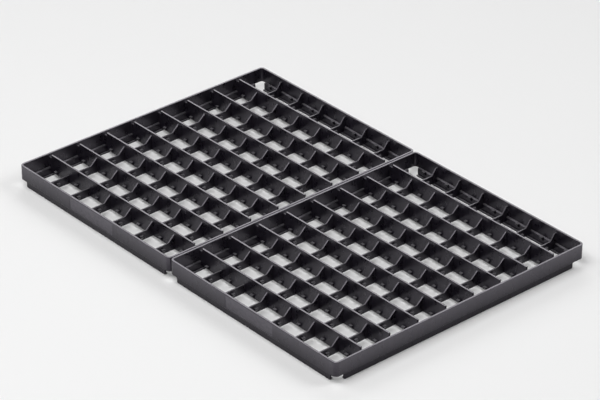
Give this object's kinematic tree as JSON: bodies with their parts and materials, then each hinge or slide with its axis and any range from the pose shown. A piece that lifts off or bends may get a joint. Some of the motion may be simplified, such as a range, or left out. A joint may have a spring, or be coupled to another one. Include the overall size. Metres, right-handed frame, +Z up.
{
  "type": "plug tray",
  "caption": "Pair of shallow open-grid nursery trays side by side, each with tall ribs, low saddle dividers and a stepped rim, for holding plugs or small pots.",
  "frame": {"origin": "centre of the pair's base, on the surface that it stands on", "axes": "+X along the 600 mm side, from the left tray to the right one; +Y along the 400 mm side, from the front with the blank panels to the back; +Z up"},
  "size_m": [0.6, 0.4, 0.0298],
  "materials": {
    "black_polypropylene": "semi-gloss black polypropylene, lightly grained"
  },
  "bodies": {
    "left_tray": {"left_rim": "black_polypropylene", "left_skirt_front": "black_polypropylene", "left_skirt_back": "black_polypropylene", "left_skirt_left": "black_polypropylene", "left_skirt_right": "black_polypropylene", "left_rib_1": "black_polypropylene", "left_rib_2": "black_polypropylene", "left_rib_3": "black_polypropylene", "left_rib_4": "black_polypropylene", "left_rib_5": "black_polypropylene", "left_rib_6": "black_polypropylene", "left_rib_7": "black_polypropylene", "left_rib_8": "black_polypropylene", "left_divider_bars_row_1": "black_polypropylene", "left_divider_bars_row_2": "black_polypropylene", "left_divider_bars_row_3": "black_polypropylene", "left_divider_bars_row_4": "black_polypropylene", "left_divider_bars_row_5": "black_polypropylene", "left_divider_bars_row_6": "black_polypropylene", "left_divider_bars_row_7": "black_polypropylene", "left_divider_bars_row_8": "black_polypropylene", "left_divider_bars_row_9": "black_polypropylene", "left_divider_wings": "black_polypropylene", "left_plug_rests": "black_polypropylene"},
    "right_tray": {"right_rim": "black_polypropylene", "right_skirt_front": "black_polypropylene", "right_skirt_back": "black_polypropylene", "right_skirt_left": "black_polypropylene", "right_skirt_right": "black_polypropylene", "right_rib_1": "black_polypropylene", "right_rib_2": "black_polypropylene", "right_rib_3": "black_polypropylene", "right_rib_4": "black_polypropylene", "right_rib_5": "black_polypropylene", "right_rib_6": "black_polypropylene", "right_rib_7": "black_polypropylene", "right_rib_8": "black_polypropylene", "right_divider_bars_row_1": "black_polypropylene", "right_divider_bars_row_2": "black_polypropylene", "right_divider_bars_row_3": "black_polypropylene", "right_divider_bars_row_4": "black_polypropylene", "right_divider_bars_row_5": "black_polypropylene", "right_divider_bars_row_6": "black_polypropylene", "right_divider_bars_row_7": "black_polypropylene", "right_divider_bars_row_8": "black_polypropylene", "right_divider_bars_row_9": "black_polypropylene", "right_divider_wings": "black_polypropylene", "right_plug_rests": "black_polypropylene"}
  },
  "joints": [
    {"name": "right_tray_lift", "type": "slide", "parent": "left_tray", "child": "right_tray", "axis": [0, 0, 1], "range_m": [0, 0.06]}
  ]
}
